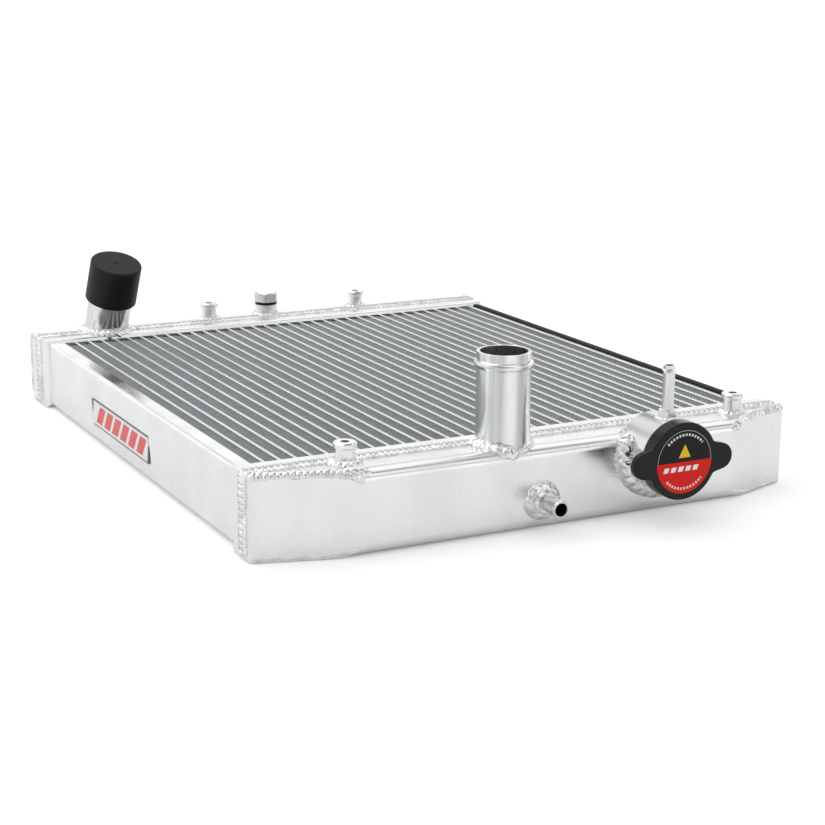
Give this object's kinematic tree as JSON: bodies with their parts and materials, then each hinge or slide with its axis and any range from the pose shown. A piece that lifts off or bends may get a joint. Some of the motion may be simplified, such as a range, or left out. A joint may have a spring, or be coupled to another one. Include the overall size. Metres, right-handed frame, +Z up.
{
  "type": "car radiator",
  "caption": "Flat aluminium car radiator with a tube and fin core between two welded tanks, hose pipes, a filler neck with a bayonet pressure cap, and a drain plug.",
  "frame": {"origin": "middle of the bounding box in X and Y, on the face the radiator rests on", "axes": "+X along the tanks, +Y from the inlet tank to the outlet tank, +Z up through the thickness of the core"},
  "size_m": [0.364, 0.4858, 0.1095],
  "materials": {
    "brushed_sheet": "bright brushed sheet with soft mottled reflections",
    "core_aluminium": "brazed bright flat tube",
    "fin_foil": "louvred folded foil, mid grey",
    "turned_aluminium": "turned and polished, fine rings",
    "plated_steel": "zinc plated pressing",
    "spring_steel": "drawn spring wire",
    "brass": "turned brass",
    "black_rubber": "matt moulded rubber",
    "black_foam": "closed cell foam",
    "black_cap": "glossy black coated steel",
    "cap_label": "printed disc, black over red",
    "badge": "printed badge, red and white with a dark edge"
  },
  "bodies": {
    "radiator": {"core_tubes": "core_aluminium", "core_fins": "fin_foil", "core_side_plates": "core_aluminium", "side_channel_left": "brushed_sheet", "side_channel_right": "brushed_sheet", "inlet_header": "brushed_sheet", "outlet_header": "brushed_sheet", "inlet_tank": "brushed_sheet", "outlet_tank": "brushed_sheet", "outlet_tank_end_left": "brushed_sheet", "outlet_tank_end_right": "brushed_sheet", "inlet_pipe": "turned_aluminium", "outlet_pipe": "turned_aluminium", "filler_neck": "turned_aluminium", "overflow_nipple": "turned_aluminium", "hose_nipple_bung": "turned_aluminium", "hose_nipple": "turned_aluminium", "fan_mount_bosses": "turned_aluminium", "drain_bung": "turned_aluminium", "lower_mount_pins": "turned_aluminium", "side_badge": "badge", "foam_strip": "black_foam"},
    "cap_valve_unit": {"cap_diaphragm": "plated_steel", "cap_spring_cage": "plated_steel", "pressure_spring": "spring_steel"},
    "cap": {"cap_shell": "black_cap", "cap_label": "cap_label", "cap_rivet": "plated_steel"},
    "pressure_valve": {"pressure_plate": "plated_steel", "pressure_seal": "black_rubber", "vacuum_spring": "spring_steel"},
    "vacuum_valve": {"vacuum_valve": "brass"},
    "drain_seal": {"drain_washer": "black_rubber"},
    "drain_plug": {"drain_plug": "turned_aluminium"},
    "outlet_dust_cap": {"outlet_dust_cap": "black_rubber"}
  },
  "joints": [
    {"name": "cap_lift", "type": "slide", "parent": "radiator", "child": "cap_valve_unit", "axis": [0, -1, 0], "range_m": [0, 0.045]},
    {"name": "cap_turn", "type": "hinge", "parent": "cap_valve_unit", "child": "cap", "pos_m": [0.074, -0.2394, 0.0385], "axis": [0, 1, 0], "range_deg": [0, 90]},
    {"name": "pressure_valve_open", "type": "slide", "parent": "cap_valve_unit", "child": "pressure_valve", "axis": [0, -1, 0], "range_m": [0, 0.003], "stiffness_N_per_m": 6000, "springref_m": -0.008, "deforming": ["pressure_spring"]},
    {"name": "vacuum_valve_open", "type": "slide", "parent": "pressure_valve", "child": "vacuum_valve", "axis": [0, 1, 0], "range_m": [0, 0.0015], "stiffness_N_per_m": 150, "springref_m": -0.002, "deforming": ["vacuum_spring"]},
    {"name": "drain_plug_rise", "type": "slide", "parent": "radiator", "child": "drain_seal", "axis": [0, 0, 1], "range_m": [0, 0.0122]},
    {"name": "drain_plug_turn", "type": "hinge", "parent": "drain_seal", "child": "drain_plug", "pos_m": [0.002, 0.2149, 0.059], "axis": [0, 0, 1], "range_deg": [0, 2880]},
    {"name": "outlet_dust_cap_pull", "type": "slide", "parent": "radiator", "child": "outlet_dust_cap", "axis": [0.0656, -0.3413, 0.9377], "range_m": [0, 0.04]}
  ],
  "couplings": [
    {"joint": "drain_plug_rise", "follows": "drain_plug_turn", "m_per_rad": 0.00023873}
  ]
}
